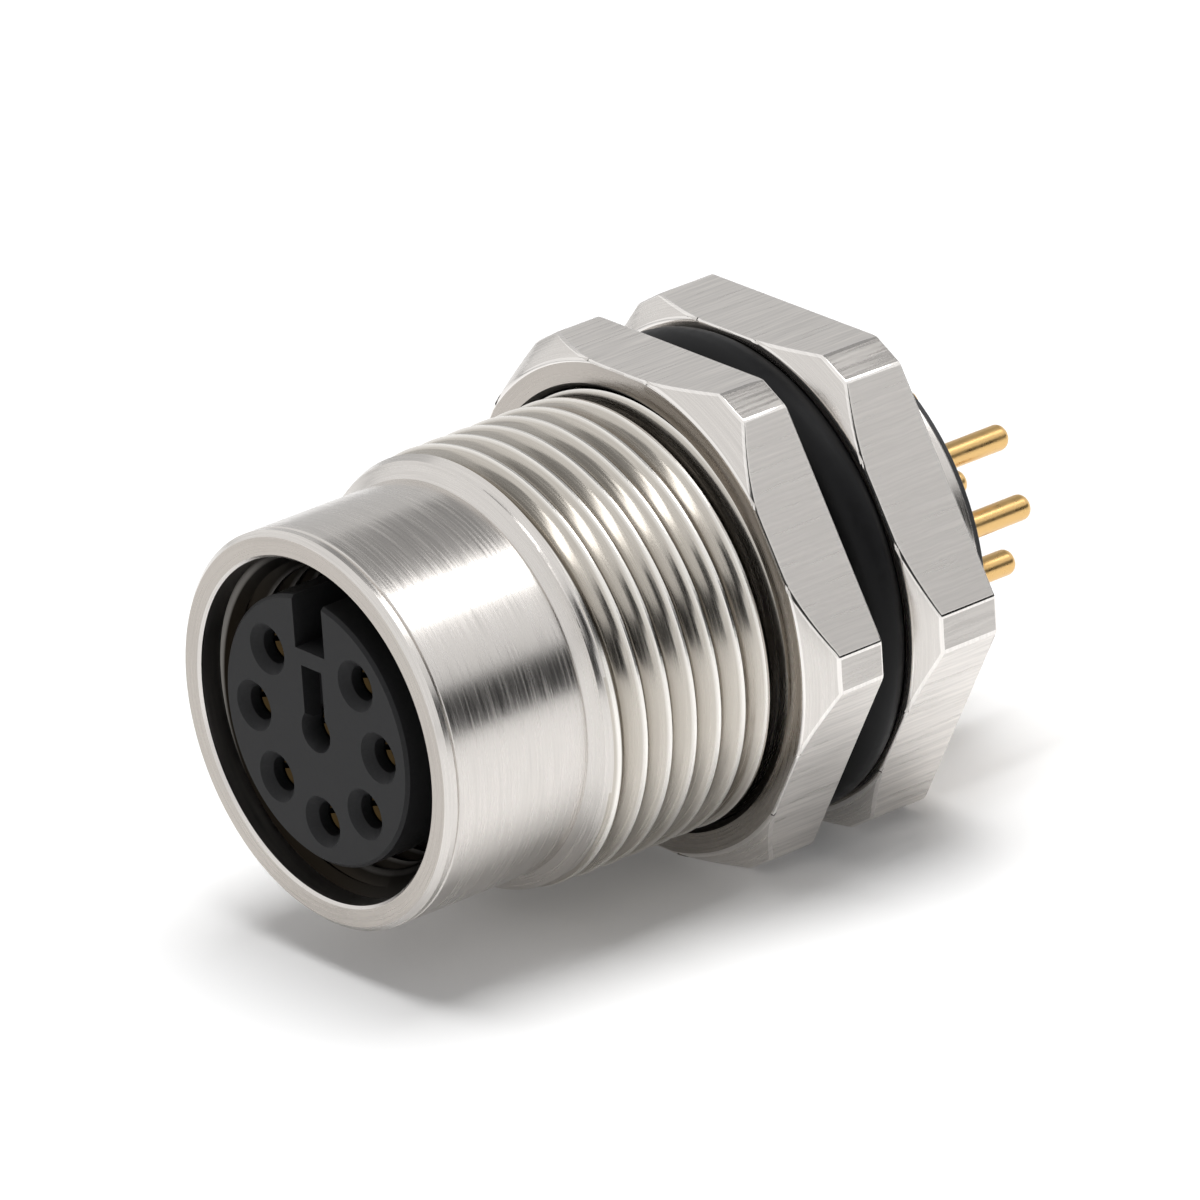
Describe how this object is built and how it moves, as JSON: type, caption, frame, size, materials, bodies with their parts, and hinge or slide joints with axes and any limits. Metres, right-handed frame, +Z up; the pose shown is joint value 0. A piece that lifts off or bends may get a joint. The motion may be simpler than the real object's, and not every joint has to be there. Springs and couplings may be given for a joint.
{
  "type": "circular panel receptacle",
  "caption": "Circular panel receptacle: turned shell with a rear hex flange, clamping hex nut and ring seal, and a coded insert of slotted socket contacts with solder tails.",
  "frame": {"origin": "on the connector's axis, in the front face of the hex flange, where a panel seats", "axes": "+Y from the mouth to the solder tails, +Z up through the coding keyway, +X to the right seen from the mouth"},
  "size_m": [0.02, 0.0298, 0.018],
  "materials": {
    "plated_shell": "satin",
    "plated_nut": "satin",
    "seal_rubber": "satin",
    "insert_plastic": "matte",
    "potting_resin": "matte",
    "plate_plastic": "matte",
    "contact_gold": "polished"
  },
  "bodies": {
    "receptacle": {"shell": "plated_shell", "panel_seal": "seal_rubber", "contact_insert": "insert_plastic", "insert_seal": "seal_rubber", "potting": "potting_resin", "pin_plate": "plate_plastic", "contact_1": "contact_gold", "contact_2": "contact_gold", "contact_3": "contact_gold", "contact_4": "contact_gold", "contact_5": "contact_gold", "contact_6": "contact_gold", "contact_7": "contact_gold", "contact_8": "contact_gold"},
    "nut": {"hex_nut": "plated_nut"}
  },
  "joints": [
    {"name": "nut_travel", "type": "slide", "parent": "receptacle", "child": "nut", "axis": [0, -1, 0], "range_m": [0, 0.0074]}
  ]
}
